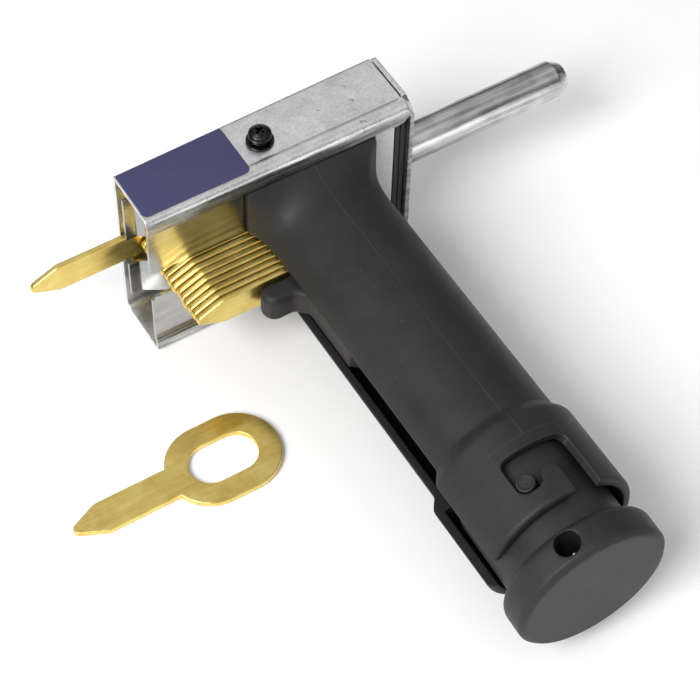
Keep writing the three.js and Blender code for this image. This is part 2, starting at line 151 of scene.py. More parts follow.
def rounded(corners: Sequence[Corner], steps: int = 8) -> Loop:
    """Closed outline whose corners are rounded.

    Args:
        corners: (x, y, radius) of each corner in order.
        steps: Chords in each corner.

    Returns:
        The outline's points.
    """
    out: Loop = []
    count = len(corners)
    for i, (x, y, r) in enumerate(corners):
        here = Vector((x, y))
        before = Vector(corners[i - 1][:2]) - here
        after = Vector(corners[(i + 1) % count][:2]) - here
        if r <= 0:
            out.append((x, y))
            continue
        before.normalize()
        after.normalize()
        half = before.angle(after) / 2
        reach = r / math.tan(half)
        centre = here + (before + after).normalized() * (r / math.sin(half))
        start = here + before * reach - centre
        end = here + after * reach - centre
        a0 = math.atan2(start.y, start.x)
        sweep = (math.atan2(end.y, end.x) - a0 + math.pi) % (2 * math.pi) - math.pi
        for k in range(steps + 1):
            a = a0 + sweep * k / steps
            out.append((centre.x + r * math.cos(a), centre.y + r * math.sin(a)))
    return out


def ellipse(cx: float, cy: float, r: float, steps: int = 64) -> Loop:
    """Closed circle as an outline, without its last repeated point."""
    return arc(cx, cy, r, 0, 360, steps)[:-1]


# ------------------------------------------------------------------ mesh making
def new_object(name: str, mesh: bpy.types.Mesh) -> bpy.types.Object:
    """Links a mesh into the scene under a name.

    Args:
        name: Object name.
        mesh: Its mesh.

    Returns:
        The new object.
    """
    made = bpy.data.objects.new(name, mesh)
    bpy.context.collection.objects.link(made)
    return made


def shade(piece: bpy.types.Object, angle: float = SMOOTH_ANGLE) -> bpy.types.Object:
    """Smooth shading with sharp edges past an angle.

    Args:
        piece: Mesh object.
        angle: Largest angle that stays smooth, in radians.

    Returns:
        The same object.
    """
    piece.data.shade_smooth()
    piece.data.set_sharp_from_angle(angle=angle)
    return piece


def from_faces(name: str, points: Sequence[Vector], faces: Sequence[Sequence[int]]) -> bpy.types.Object:
    """Mesh object from points and faces, with its faces turned outwards.

    Args:
        name: Object name.
        points: Vertices in scene metres.
        faces: Vertex numbers of each face.

    Returns:
        The new object.
    """
    mesh = bpy.data.meshes.new(name)
    mesh.from_pydata([tuple(p) for p in points], [], [tuple(f) for f in faces])
    work = bmesh.new()
    work.from_mesh(mesh)
    bmesh.ops.remove_doubles(work, verts=work.verts, dist=1e-7)
    bmesh.ops.recalc_face_normals(work, faces=work.faces)
    work.to_mesh(mesh)
    work.free()
    return new_object(name, mesh)


def plate(
    name: str, loops: Sequence[Loop], thick: float, edge: float, plane: Plane, start: float
) -> bpy.types.Object:
    """Flat plate with rounded edges, cut from one outline and its holes.

    Args:
        name: Object name.
        loops: Outer outline first, then the holes, in millimetres.
        thick: Thickness in millimetres.
        edge: Radius of the rounded edges in millimetres.
        plane: Plane of the outline.
        start: Place of the first face along the thickness axis.

    Returns:
        The plate as a mesh object.
    """
    curve = bpy.data.curves.new(name, "CURVE")
    curve.dimensions = "2D"
    curve.fill_mode = "BOTH"
    curve.extrude = max(thick / 2 - edge, 1e-4)
    curve.bevel_depth = edge
    curve.bevel_resolution = 3
    curve.offset = -edge
    for loop in loops:
        spline = curve.splines.new("POLY")
        spline.points.add(len(loop) - 1)
        for point, (x, y) in zip(spline.points, loop):
            point.co = (x, y, 0, 1)
        spline.use_cyclic_u = True
    drawn = new_object(name + "_drawn", curve)
    depsgraph = bpy.context.evaluated_depsgraph_get()
    mesh = bpy.data.meshes.new_from_object(drawn.evaluated_get(depsgraph))
    bpy.data.objects.remove(drawn)
    bpy.data.curves.remove(curve)
    mesh.transform(Matrix.Translation((0, 0, thick / 2)))
    mesh.transform(plane.matrix(start))
    made = new_object(name, mesh)
    work = bmesh.new()
    work.from_mesh(mesh)
    bmesh.ops.remove_doubles(work, verts=work.verts, dist=2e-6)
    bmesh.ops.recalc_face_normals(work, faces=work.faces)
    work.to_mesh(mesh)
    work.free()
    return shade(made)


def lathe(
    name: str, profile: Sequence[Point], place: Callable[[float, float, float], Vector], sides: int = 128
) -> bpy.types.Object:
    """Turned piece. The profile starts and ends on the axis.

    Args:
        name: Object name.
        profile: (radius, distance along the axis) pairs in millimetres.
        place: Turns (radius, distance, angle) into a scene point.
        sides: Number of steps round the axis.

    Returns:
        The turned object.
    """
    points: list[Vector] = []
    for r, d in profile:
        points += [place(r, d, math.tau * i / sides) for i in range(sides)]
    faces = []
    for k in range(len(profile) - 1):
        for i in range(sides):
            j = (i + 1) % sides
            a, b, c, d = k * sides + i, k * sides + j, (k + 1) * sides + j, (k + 1) * sides + i
            faces.append((a, b, c, d))
    made = from_faces(name, points, faces)
    return shade(made)


def fillet(profile: Sequence[Corner], steps: int = 6) -> Loop:
    """Open profile of (radius, distance, rounding) corners with its inner corners rounded.

    Args:
        profile: Corners with a rounding radius each; the two ends stay sharp.
        steps: Chords in each rounded corner.

    Returns:
        The profile's points.
    """
    first, *middle, last = profile
    out: Loop = [first[:2]]
    for before, here, after in zip(profile, middle, profile[2:]):
        if here[2] <= 0:
            out.append(here[:2])
            continue
        corner = rounded([(*before[:2], 0), here, (*after[:2], 0)], steps)
        out += corner[1:-1]
    out.append(last[:2])
    return out


def carve(body: bpy.types.Object, cutters: Sequence[bpy.types.Object], how: Carve = Carve.CUT) -> None:
    """Cuts or joins solids into one, and removes the tools.

    Args:
        body: Object that is changed.
        cutters: Tools, removed afterwards.
        how: What the tools do to the body.
    """
    for tool in cutters:
        step = body.modifiers.new("carve", "BOOLEAN")
        step.operation = how.value
        step.solver = "EXACT"
        step.object = tool
        apply_modifiers(body)
        bpy.data.objects.remove(tool)


def merge(body: bpy.types.Object, others: Sequence[bpy.types.Object]) -> None:
    """Adds the faces of other solids to a body; `soften` then makes them one skin.

    Args:
        body: Object that is added to.
        others: Solids that are moved into it.
    """
    work = bmesh.new()
    for piece in (body, *others):
        work.from_mesh(piece.data)
    work.to_mesh(body.data)
    work.free()
    for piece in others:
        bpy.data.objects.remove(piece)


def apply_modifiers(body: bpy.types.Object) -> None:
    """Makes an object's modifiers part of its mesh.

    Args:
        body: Mesh object.
    """
    depsgraph = bpy.context.evaluated_depsgraph_get()
    mesh = bpy.data.meshes.new_from_object(body.evaluated_get(depsgraph))
    body.modifiers.clear()
    old = body.data
    body.data = mesh
    bpy.data.meshes.remove(old)


def soften(body: bpy.types.Object, voxel: float, rounds: int, factor: float = 0.5) -> bpy.types.Object:
    """Rebuilds a solid as an even skin and rounds its edges, as moulded plastic has them.

    Args:
        body: Closed solid.
        voxel: Size of the new skin's faces in millimetres.
        rounds: Smoothing rounds.
        factor: Strength of each round.

    Returns:
        The same object.
    """
    remesh = body.modifiers.new("skin", "REMESH")
    remesh.mode = "VOXEL"
    remesh.voxel_size = voxel * MM
    smooth = body.modifiers.new("round", "SMOOTH")
    smooth.factor = factor
    smooth.iterations = rounds
    apply_modifiers(body)
    body.data.shade_smooth()
    return body


def block(name: str, low: Vector, high: Vector, edge: float = 0.0) -> bpy.types.Object:
    """Rectangular solid between two scene points.

    Args:
        name: Object name.
        low: Lowest corner.
        high: Highest corner.
        edge: Rounding of the edges in millimetres.

    Returns:
        The solid.
    """
    work = bmesh.new()
    bmesh.ops.create_cube(work, size=1)
    middle, size = (low + high) / 2, high - low
    for vert in work.verts:
        vert.co = middle + Vector(vert.co[i] * size[i] for i in range(3))
    if edge > 0:
        bmesh.ops.bevel(work, geom=work.edges[:], offset=edge * MM, segments=3, profile=0.5, affect="EDGES")
    mesh = bpy.data.meshes.new(name)
    work.to_mesh(mesh)
    work.free()
    return shade(new_object(name, mesh))


# ------------------------------------------------------------------ finishes
class Recipe:
    """Small helper that wires one material's nodes."""

    def __init__(self, name: str) -> None:
        """Starts a material with an empty Principled shader.

        Args:
            name: Material name.
        """
        self.material = bpy.data.materials.new(name)
        self.material.use_nodes = True
        self.tree = self.material.node_tree
        self.shader = self.tree.nodes["Principled BSDF"]
        self.place = self.tree.nodes.new("ShaderNodeTexCoord").outputs["Object"]

    def set(self, **values: float | tuple[float, ...]) -> "Recipe":
        """Sets constants on the shader's own sockets.

        Args:
            values: Socket names, with _ for a space, and what they hold.

        Returns:
            This recipe.
        """
        for key, value in values.items():
            self.shader.inputs[key.replace("_", " ")].default_value = value
        return self

    def link(self, source: Socket, socket: str) -> "Recipe":
        """Links a node's output to one of the shader's sockets."""
        self.tree.links.new(source, self.shader.inputs[socket])
        return self

    def stretched(self, x: float, y: float, z: float, turn: tuple[float, float, float] = (0, 0, 0)) -> Socket:
        """Object coordinates, scaled in each direction and turned.

        Args:
            x: Repeats per metre along X.
            y: Repeats per metre along Y.
            z: Repeats per metre along Z.
            turn: Euler angles in degrees.

        Returns:
            The vector socket.
        """
        node = self.tree.nodes.new("ShaderNodeMapping")
        node.inputs["Scale"].default_value = (x, y, z)
        node.inputs["Rotation"].default_value = tuple(math.radians(a) for a in turn)
        self.tree.links.new(self.place, node.inputs["Vector"])
        return node.outputs["Vector"]

    def noise(
        self, vector: Socket, scale: float, detail: float = 4.0, rough: float = 0.55, bend: float = 0.0
    ) -> Socket:
        """Noise value over the surface.

        Args:
            vector: Vector socket.
            scale: Scale of the noise.
            detail: Octaves.
            rough: Roughness of the octaves.
            bend: Distortion.

        Returns:
            The value socket.
        """
        node = self.tree.nodes.new("ShaderNodeTexNoise")
        node.inputs["Scale"].default_value = scale
        node.inputs["Detail"].default_value = detail
        node.inputs["Roughness"].default_value = rough
        node.inputs["Distortion"].default_value = bend
        self.tree.links.new(vector, node.inputs["Vector"])
        return node.outputs["Fac"]

    def ramp(self, value: Socket, stops: Sequence[tuple[float, Colour]]) -> Socket:
        """Colour ramp over a value.

        Args:
            value: Value socket.
            stops: (place, linear colour) of each stop.

        Returns:
            The colour socket.
        """
        node = self.tree.nodes.new("ShaderNodeValToRGB")
        marks = node.color_ramp.elements
        while len(marks) < len(stops):
            marks.new(0.5)
        for mark, (place, colour) in zip(marks, stops):
            mark.position = place
            mark.color = (*colour, 1)
        self.tree.links.new(value, node.inputs["Fac"])
        return node.outputs["Color"]

    def span(self, value: Socket, low: float, high: float, start: float = 0.3, stop: float = 0.7) -> Socket:
        """Maps one range of a value to another, held at both ends.

        Args:
            value: Value socket.
            low: Result at `start`.
            high: Result at `stop`.
            start: First end of the range that is read.
            stop: Other end of the range that is read.

        Returns:
            The value socket.
        """
        node = self.tree.nodes.new("ShaderNodeMapRange")
        node.inputs["From Min"].default_value = start
        node.inputs["From Max"].default_value = stop
        node.inputs["To Min"].default_value = low
        node.inputs["To Max"].default_value = high
        self.tree.links.new(value, node.inputs["Value"])
        return node.outputs["Result"]

    def math(
        self,
        operation: str,
        first: Socket | float,
        second: Socket | float | None = None,
        third: Socket | float | None = None,
    ) -> Socket:
        """Math node of one to three inputs.

        Args:
            operation: Blender's name of the operation.
            first: Socket or number.
            second: Socket or number, where the operation has one.
            third: Socket or number, where the operation has one.

        Returns:
            The value socket.
        """
        node = self.tree.nodes.new("ShaderNodeMath")
        node.operation = operation
        for socket, value in zip(node.inputs, (first, second, third)):
            if value is None:
                continue
            if isinstance(value, (int, float)):
                socket.default_value = value
            else:
                self.tree.links.new(value, socket)
        return node.outputs["Value"]

    def mix(self, share: Socket | float, first: Socket | Colour, second: Socket | Colour) -> Socket:
        """Mixes two colours.

        Args:
            share: How much of the second colour shows, 0 to 1.
            first: Socket or linear colour.
            second: Socket or linear colour.

        Returns:
            The colour socket.
        """
        node = self.tree.nodes.new("ShaderNodeMix")
        node.data_type = "RGBA"
        pairs = ((node.inputs["Factor"], share), (node.inputs[6], first), (node.inputs[7], second))
        for socket, value in pairs:
            if isinstance(value, tuple):
                socket.default_value = (*value, 1)
            elif isinstance(value, (int, float)):
                socket.default_value = value
            else:
                self.tree.links.new(value, socket)
        return node.outputs[2]

    def axis(self, name: str) -> Socket:
        """One coordinate of the surface point.

        Args:
            name: X, Y or Z.

        Returns:
            The value socket, in scene metres.
        """
        node = self.tree.nodes.new("ShaderNodeSeparateXYZ")
        self.tree.links.new(self.place, node.inputs["Vector"])
        return node.outputs[name]

    def bump(self, layers: Sequence[tuple[Socket, float]], distance: float = 0.0001) -> "Recipe":
        """Chains bump layers into the shader's normal.

        Args:
            layers: (height socket, strength) of each layer.
            distance: Height of a full bump in metres.

        Returns:
            This recipe.
        """
        normal = None
        for height, strength in layers:
            node = self.tree.nodes.new("ShaderNodeBump")
            node.inputs["Strength"].default_value = strength
            node.inputs["Distance"].default_value = distance
            self.tree.links.new(height, node.inputs["Height"])
            if normal is not None:
                self.tree.links.new(normal, node.inputs["Normal"])
            normal = node.outputs["Normal"]
        self.tree.links.new(normal, self.shader.inputs["Normal"])
        return self


@dataclass(frozen=True)
class SheetSteel:
    """Bright zinc sheet with cloudy patches, fine handling scratches, and painted shade on the near lips."""

    name: str = "bright_zinc_sheet"
    dark: Colour = (0.64, 0.64, 0.64)
    light: Colour = (0.90, 0.90, 0.90)
    shine: tuple[float, float] = (0.26, 0.4)
    painted_shade: Colour = (0.16, 0.16, 0.16)
    fold_depth: float = -0.01735

    def folded(self, r: Recipe) -> Socket:
        """Share of painted shade: a dark reflection painted on the near lips and under their bends, in
        streaks along the fold.

        Args:
            r: The material being wired.

        Returns:
            Value socket, 1 where the painted shade is darkest.
        """
        y = r.math("SUBTRACT", r.axis("Y"), ZERO.y)
        near = r.span(y, 1.0, 0.0, self.fold_depth - 0.0002, self.fold_depth + 0.0006)
        streaks = r.noise(r.stretched(60, 700, 700), 1, 5, 0.65, 0.2)
        return r.math("MULTIPLY", near, r.span(streaks, 1.0, 0.35, 0.4, 0.62))

    def make(self) -> bpy.types.Material:
        """Builds the material.

        Returns:
            The finished material.
        """
        r = Recipe(self.name)
        clouds = r.noise(r.stretched(1, 1, 1), 170, 6, 0.62, 0.6)
        specks = r.noise(r.stretched(1, 1, 1), 1300, 4, 0.65)
        scratches = [
            r.span(r.noise(r.stretched(*scale, (0, 0, turn)), 1, 2, 0.5), 0.0, 1.0, 0.62, 0.7)
            for scale, turn in (((2600, 70, 400), 31), ((60, 2400, 400), 12), ((1900, 110, 300), -24))
        ]
        pits = r.span(r.noise(r.stretched(1, 1, 1), 420, 2, 0.5, 1.2), 0.0, 1.0, 0.7, 0.76)
        mottled = r.math("MULTIPLY_ADD", specks, 0.5, r.math("MULTIPLY", clouds, 0.5))
        colour = r.ramp(mottled, ((0.38, self.dark), (0.6, self.light)))
        colour = r.mix(r.math("MULTIPLY", pits, 0.6), colour, (0.22, 0.22, 0.22))
        marks = r.math("MAXIMUM", scratches[0], r.math("MAXIMUM", scratches[1], scratches[2]))
        # Painted shade: the near lips and the sheet under their bends are darkened in streaks, in place of
        # the dark reflection of the shaded floor.
        colour = r.mix(r.math("MULTIPLY", self.folded(r), 0.85), colour, self.painted_shade)
        r.link(r.mix(r.math("MULTIPLY", marks, 0.12), colour, (0.95, 0.95, 0.95)), "Base Color")
        r.link(r.span(mottled, *self.shine), "Roughness").set(Metallic=1.0)
        return r.bump(((specks, 0.35), (pits, 0.3), (marks, 0.12))).material


@dataclass(frozen=True)
class SatinSteel:
    """Smooth steel, rolled or ground in one direction."""

    name: str
    along: tuple[float, float, float]
    dark: Colour = (0.42, 0.42, 0.41)
    light: Colour = (0.62, 0.62, 0.60)
    shine: tuple[float, float] = (0.16, 0.3)
    grain: float = 0.12

    def make(self) -> bpy.types.Material:
        """Builds the material.

        Returns:
            The finished material.
        """
        r = Recipe(self.name)
        streaks = r.noise(r.stretched(*self.along), 1, 5, 0.6)
        patches = r.noise(r.stretched(1, 1, 1), 140, 4, 0.5)
        tone = r.math("MULTIPLY_ADD", streaks, 0.6, r.math("MULTIPLY", patches, 0.4))
        r.link(r.ramp(tone, ((0.35, self.dark), (0.65, self.light))), "Base Color")
        r.link(r.span(streaks, *self.shine), "Roughness").set(Metallic=1.0)
        return r.bump(((streaks, self.grain),)).material


@dataclass(frozen=True)
class StampedBrass:
    """Rolled brass sheet with slight tarnish."""

    name: str = "stamped_brass"
    deep: Colour = (0.70, 0.50, 0.12)
    bright: Colour = (0.90, 0.72, 0.25)

    def make(self) -> bpy.types.Material:
        """Builds the material.

        Returns:
            The finished material.
        """
        r = Recipe(self.name)
        tarnish = r.noise(r.stretched(1, 1, 1), 190, 5, 0.6, 0.4)
        rolled = r.noise(r.stretched(70, 1700, 1700), 1, 4, 0.6)
        fine = r.noise(r.stretched(1, 1, 1), 2600, 2, 0.5)
        tone = r.math("MULTIPLY_ADD", rolled, 0.35, r.math("MULTIPLY", tarnish, 0.65))
        r.link(r.ramp(tone, ((0.34, self.deep), (0.62, self.bright))), "Base Color")
        r.link(r.span(tarnish, 0.27, 0.42), "Roughness").set(Metallic=1.0)
        return r.bump(((rolled, 0.10), (fine, 0.06))).material


@dataclass(frozen=True)
class MouldedPlastic:
    """Black moulded plastic with a fine spark texture, scuffs and witness lines."""

    name: str = "black_moulded_plastic"
    base: Colour = (0.0115, 0.0115, 0.012)
    worn: Colour = (0.021, 0.021, 0.021)
    axis: Vector | None = None
    line_width: float = 0.00008
    crown_lines: tuple[tuple[float, float], ...] = ((0.0, 1.0), (0.0075, 0.45))
    frame_radius: float = 0.0196
    frame_top: float = -0.1083
    frame_left: float = 118.0
    frame_right: float = 63.2

    def make(self) -> bpy.types.Material:
        """Builds the material.

        Returns:
            The finished material.
        """
        r = Recipe(self.name)
        clouds = r.noise(r.stretched(1, 1, 1), 90, 5, 0.6, 0.3)
        spark = r.noise(r.stretched(1, 1, 1), 3200, 2, 0.5)
        specks = r.noise(r.stretched(1, 1, 1), 800, 1, 0.4)
        colour = r.ramp(clouds, ((0.3, self.base), (0.8, self.worn)))
        dust = r.span(specks, 0.0, 0.35, 0.74, 0.82)
        colour = r.mix(dust, colour, (0.06, 0.06, 0.06))
        layers = [(spark, 0.16), (clouds, 0.05)]
        if self.axis is not None:
            line = self.mould_lines(r)
            patchy = r.math("MULTIPLY", line, r.span(r.noise(r.stretched(40, 60, 40), 1, 3), 0.1, 0.9))
            colour = r.mix(patchy, colour, (0.085, 0.085, 0.085))
            layers.append((line, 0.3))
        r.link(colour, "Base Color")
        r.link(r.span(clouds, 0.5, 0.62), "Roughness").set(Specular_IOR_Level=0.36)
        return r.bump(layers).material

    def mould_lines(self, r: Recipe) -> Socket:
        """Witness lines: two along the crown, and a frame round the window. Sizes are in metres and degrees.

        Args:
            r: The material being wired.

        Returns:
            Value socket, 1 on a line and 0 off it.
        """
        x = r.math("SUBTRACT", r.axis("X"), self.axis.x)
        y = r.math("SUBTRACT", r.axis("Y"), ZERO.y)
        z = r.math("SUBTRACT", r.axis("Z"), self.axis.z)
        angle = r.math("DEGREES", r.math("ARCTAN2", z, x))
        round_tube = r.math("GREATER_THAN", z, 0.0)
        before = r.math("GREATER_THAN", y, self.frame_top)
        lines = []
        for place, strength in self.crown_lines:
            off = r.math("ABSOLUTE", r.math("SUBTRACT", x, place))
            along = r.math("MULTIPLY", r.span(off, strength, 0.0, 0.0, self.line_width), before)
            lines.append(r.math("MULTIPLY", along, round_tube))
        arc_width = math.degrees(self.line_width / self.frame_radius)
        for side in (self.frame_left, self.frame_right):
            off = r.math("ABSOLUTE", r.math("SUBTRACT", angle, side))
            down = r.math("SUBTRACT", 1.0, before)
            lines.append(r.math("MULTIPLY", r.span(off, 0.8, 0.0, 0.0, arc_width), down))
        off = r.math("ABSOLUTE", r.math("SUBTRACT", y, self.frame_top))
        middle = (self.frame_left + self.frame_right) / 2
        swing = r.math("ABSOLUTE", r.math("SUBTRACT", angle, middle))
        inside = r.math("LESS_THAN", swing, self.frame_left - middle)
        lines.append(r.math("MULTIPLY", r.span(off, 0.8, 0.0, 0.0, self.line_width), inside))
        total = lines[0]
        for line in lines[1:]:
            total = r.math("MAXIMUM", total, line)
        return total


@dataclass(frozen=True)
class PlainFinish:
    """Simple speckled finish for small pieces."""

    name: str
    dark: Colour
    light: Colour
    metal: float
    shine: tuple[float, float]
    scale: float = 900
    grain: float = 0.15

    def make(self) -> bpy.types.Material:
        """Builds the material.

        Returns:
            The finished material.
        """
        r = Recipe(self.name)
        tone = r.noise(r.stretched(1, 1, 1), self.scale, 4, 0.6)
        r.link(r.ramp(tone, ((0.32, self.dark), (0.68, self.light))), "Base Color")
        r.link(r.span(tone, *self.shine), "Roughness").set(Metallic=self.metal)
        return r.bump(((tone, self.grain),)).material


def dress(piece: bpy.types.Object, material: bpy.types.Material) -> bpy.types.Object:
    """Gives a piece one material.

    Args:
        piece: Mesh object.
        material: Its finish.

    Returns:
        The same object.
    """
    piece.data.materials.clear()
    piece.data.materials.append(material)
    return piece


def dress_cad(node: str, material: bpy.types.Material) -> None:
    """Gives a carried-over node a material through its object's slot.

    Args:
        node: Name of the node.
        material: Its finish.
    """
    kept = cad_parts[node]
    slot = kept.material_slots[0]
    slot.link = "OBJECT"
    slot.material = material


def fit(piece: bpy.types.Object, body: Body, slot: Slot, *nodes: str) -> bpy.types.Object:
    """Rides a piece on its body and hides the nodes it stands for.

    Args:
        piece: Finished piece.
        body: Body that it moves with.
        slot: Its swappable finish; not used.
        nodes: Nodes of the CAD model that it stands for.

    Returns:
        The same piece.
    """
    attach(piece, body.value)
    if nodes:
        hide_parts(*nodes)
    LOG.info("built %s on %s", piece.name, body.value)
    return piece


# ------------------------------------------------------------------ feed housing
@dataclass
class Housing:
    """Folded sheet housing with its rear plate, pads, guides and label."""

    length: float = 72.7
    depth: float = 17.6
    height: float = 51.0
    sheet: float = 1.0
    near_top: float = 2.4
    far_top: float = 1.05
    far_bottom: float = 3.4
    near_bottom: float = 1.8
    flare: float = 1.86
    top_lip: float = 5.0
    bottom_lip: float = 3.8
    plate_front: float = 73.1
    plate_thick: float = 1.4
    pad_front: float = 69.8
    pad_thick: float = 1.35
    pad_gap: float = 0.3
    guide_y: float = -15.5
    shank_y: float = -9.0
    axis_z: float = 25.5
    shank_hole: float = 5.3
    pusher_slot: float = 4.3
    zinc: bpy.types.Material = field(default_factory=lambda: SheetSteel().make())
    satin: bpy.types.Material = field(default_factory=lambda: SatinSteel(
        "guide_sheet", (60, 60, 900), (0.36, 0.36, 0.355), (0.5, 0.5, 0.49), (0.16, 0.28), 0.08
    ).make())
    # Painted light: a paler copy of the guide steel for the rear guide plate alone. It is painted lighter to
    # stand in for the bright floor it reflects and to lift the shade the grip casts on it.
    painted_lighter_guide: bpy.types.Material = field(default_factory=lambda: PlainFinish(
        "guide_sheet_painted_lighter", (0.66, 0.66, 0.66), (0.76, 0.76, 0.76), 1.0, (0.4, 0.5), 700, 0.05
    ).make())

    def section(self) -> Loop:
        """Outline of the folded sheet in Y and Z, with the shallow crease beside the near top bend.

        Returns:
            The outline's points.
        """
        d, h, t = self.depth, self.height, self.sheet
        nt, ft, fb, nb = self.near_top, self.far_top, self.far_bottom, self.near_bottom
        crease = [(-14.5, h + 0.02), (-14.1, h - 0.12), (-13.7, h - 0.2), (-13.3, h - 0.12), (-12.9, h)]
        return [
            (-d, h - self.top_lip),
            *arc(-d + nt, h - nt, nt, 180, 96),
            *crease,
            *arc(-ft, h - ft, ft, 90, 0),
            *arc(-fb, fb, fb, 0, -90),
            *arc(-d + nb, nb, nb, -90, -180),
            (-d, self.bottom_lip),
            (-d + t, self.bottom_lip),
            *arc(-d + nb, nb, nb - t, 180, 270),
            *arc(-fb, fb, fb - t, -90, 0),
            *arc(-ft, h - ft, ft - t, 0, 90, 2),
            *arc(-d + nt, h - nt, nt - t, 90, 180),
            (-d + t, h - self.top_lip),
        ]

    def spread(self, x: float, y: float) -> float:
        """How far the sheet stands out towards the far side, which opens towards the rear."""
        return self.flare * x / self.plate_front * max(0.0, (y + self.depth) / self.depth)

    def shape_channel(self, made: bpy.types.Object) -> None:
        """Flares the far wall, rounds the end of the lip, and makes the folded sheet slightly uneven.

        Args:
            made: The straight channel.
        """
        work = bmesh.new()
        work.from_mesh(made.data)
        for x in [*range(3, 69, 3), 69, 69.8, 70.6, 71.3, 71.9, 72.3]:
            parts = work.verts[:] + work.edges[:] + work.faces[:]
            bmesh.ops.bisect_plane(work, geom=parts, plane_co=at(x, 0, 0), plane_no=(1, 0, 0))
        for vert in work.verts:
            x, y, z = (vert.co - ZERO) / MM
            wave = 0.05 * math.sin(x * 0.42) + 0.035 * math.sin(x * 1.13 + 2)
            if y < -self.depth + 1.6 and self.height - 6 < z < self.height - 1.5:
                z += wave
                y += 0.6 * wave
                if x > 69 and z < self.height - 3:
                    z += 1.9 * (1 - math.sqrt(max(0.0, 1 - ((x - 69) / 3.7) ** 2)))
            y += self.spread(x, y)
            vert.co = at(x, y, z)
        work.to_mesh(made.data)
        work.free()
        shade(made, math.radians(32))

    def keyhole(self) -> Loop:
        """Hole for the shank with the slot for the pusher beside it.

        Returns:
            The outline's points.
        """
        half = self.pusher_slot
        reach = self.shank_hole
        near = math.degrees(math.asin(half / reach))
        return [(-1.1, self.axis_z - half), (-1.1, self.axis_z + half),
                *arc(self.shank_y, self.axis_z, reach, near, 360 - near, 40)]

    def build_channel(self) -> None:
        """The folded channel."""
        made = plate("housing_shell", [self.section()], self.length, 0.14, Plane.YZ_ALONG_X, 0)
        self.shape_channel(made)
        fit(dress(made, self.zinc), Body.FRAME, Slot.ZINC, "housing_channel")

    def build_rear(self) -> None:
        """Rear plate, its crimped corner, and the two pads in front of it."""
        d, h = self.depth, self.height
        far = self.flare
        outline = rounded([
            (-d, 0, 2.2), (far, 0, 3.4), (far, h, 1.6), (-d + 4.2, h, 1.4), (-d, h - 3.6, 1.4),
        ])
        loops = [outline, self.keyhole()]
        made = plate("rear_cover", loops, self.plate_thick, 0.2, Plane.YZ_ALONG_X, self.plate_front)
        fit(dress(made, self.zinc), Body.FRAME, Slot.ZINC, "rear_plate")
        rubber = PlainFinish(
            "black_pad", (0.018, 0.018, 0.018), (0.045, 0.045, 0.045), 0.0, (0.55, 0.8), 1400, 0.5
        ).make()
        self.build_tuck()
        for index, node in enumerate(("rear_pad_inner", "rear_pad_outer")):
            start = self.pad_front + index * (self.pad_thick + self.pad_gap)
            pad = plate(node + "_cut", [self.pad_outline()], self.pad_thick, 0.12, Plane.YZ_ALONG_X, start)
            fit(dress(pad, rubber), Body.FRAME, Slot.RUBBER, node)

    def pad_outline(self) -> Loop:
        """Pad with a notch that runs in from its far edge to the shank.

        Returns:
            The outline's points.
        """
        inset = self.sheet + 0.3
        near, far, top = -self.depth + inset, -inset + 0.1, self.height - inset
        side = 2.2
        half, reach = self.pusher_slot, self.shank_hole
        open_at = math.degrees(math.asin(half / reach))
        return [
            *arc(near + side, inset + side, side, 180, 270), *arc(far - side, inset + side, side, -90, 0),
            (far, self.axis_z - half), *arc(self.shank_y, self.axis_z, reach, -open_at, -360 + open_at, 40),
            (far, self.axis_z + half),
            *arc(far - side, top - side, side, 0, 90), *arc(near + side, top - side, side, 90, 180),
        ]

    def build_tuck(self) -> None:
        """Tucked corner of sheet where the top, the lip and the rear plate meet."""
        h = self.height
        points = [
            (70.2, -14.6, h + 0.05), (72.6, -13.6, h + 0.2), (74.3, -13.4, h + 0.05), (71.2, -15.9, h - 0.15),
            (72.9, -15.4, h + 0.1), (74.4, -15.3, h - 1.0), (71.6, -17.2, h - 1.6), (73.1, -17.3, h - 1.5),
            (74.4, -17.2, h - 3.0), (71.4, -17.62, h - 3.9), (72.8, -17.68, h - 3.6),
        ]
        faces = [(0, 1, 4, 3), (1, 2, 5, 4), (3, 4, 7, 6), (4, 5, 8, 7), (6, 7, 10, 9)]
        made = from_faces("tucked_corner", [at(*point) for point in points], faces)
        body = made.modifiers.new("sheet", "SOLIDIFY")
        body.thickness = 0.5 * MM
        body.offset = -1 if made.data.polygons[0].normal.z > 0 else 1
        edge = made.modifiers.new("edge", "BEVEL")
        edge.width = 0.12 * MM
        edge.segments = 2
        apply_modifiers(made)
        fit(dress(shade(made, math.radians(24)), self.zinc), Body.FRAME, Slot.ZINC)

    def build_guides(self) -> None:
        """Near side guide sheets above, below and behind the window for the tangs."""
        chamfer = 1.0
        spans = {
            "upper_guide_plate": (0.2, 30.3, 26.4, 48.2),
            "lower_guide_plate": (0.2, 2.8, 26.4, 20.7),
            "rear_guide_plate": (63.8, 2.8, 69.4, 48.2),
        }
        for node, (x0, z0, x1, z1) in spans.items():
            outline = [(x0, z0), (x1, z0), (x1, z1), (x0 + chamfer, z1), (x0, z1 - chamfer)]
            made = plate(node + "_sheet", [outline], 1.0, 0.12, Plane.XZ_ALONG_NEAR, self.guide_y)
            rear = node == "rear_guide_plate"
            # Painted light: the rear guide plate takes the paler, painted-lighter copy of the guide steel.
            fit(dress(made, self.painted_lighter_guide if rear else self.satin), Body.FRAME, Slot.GUIDE, node)

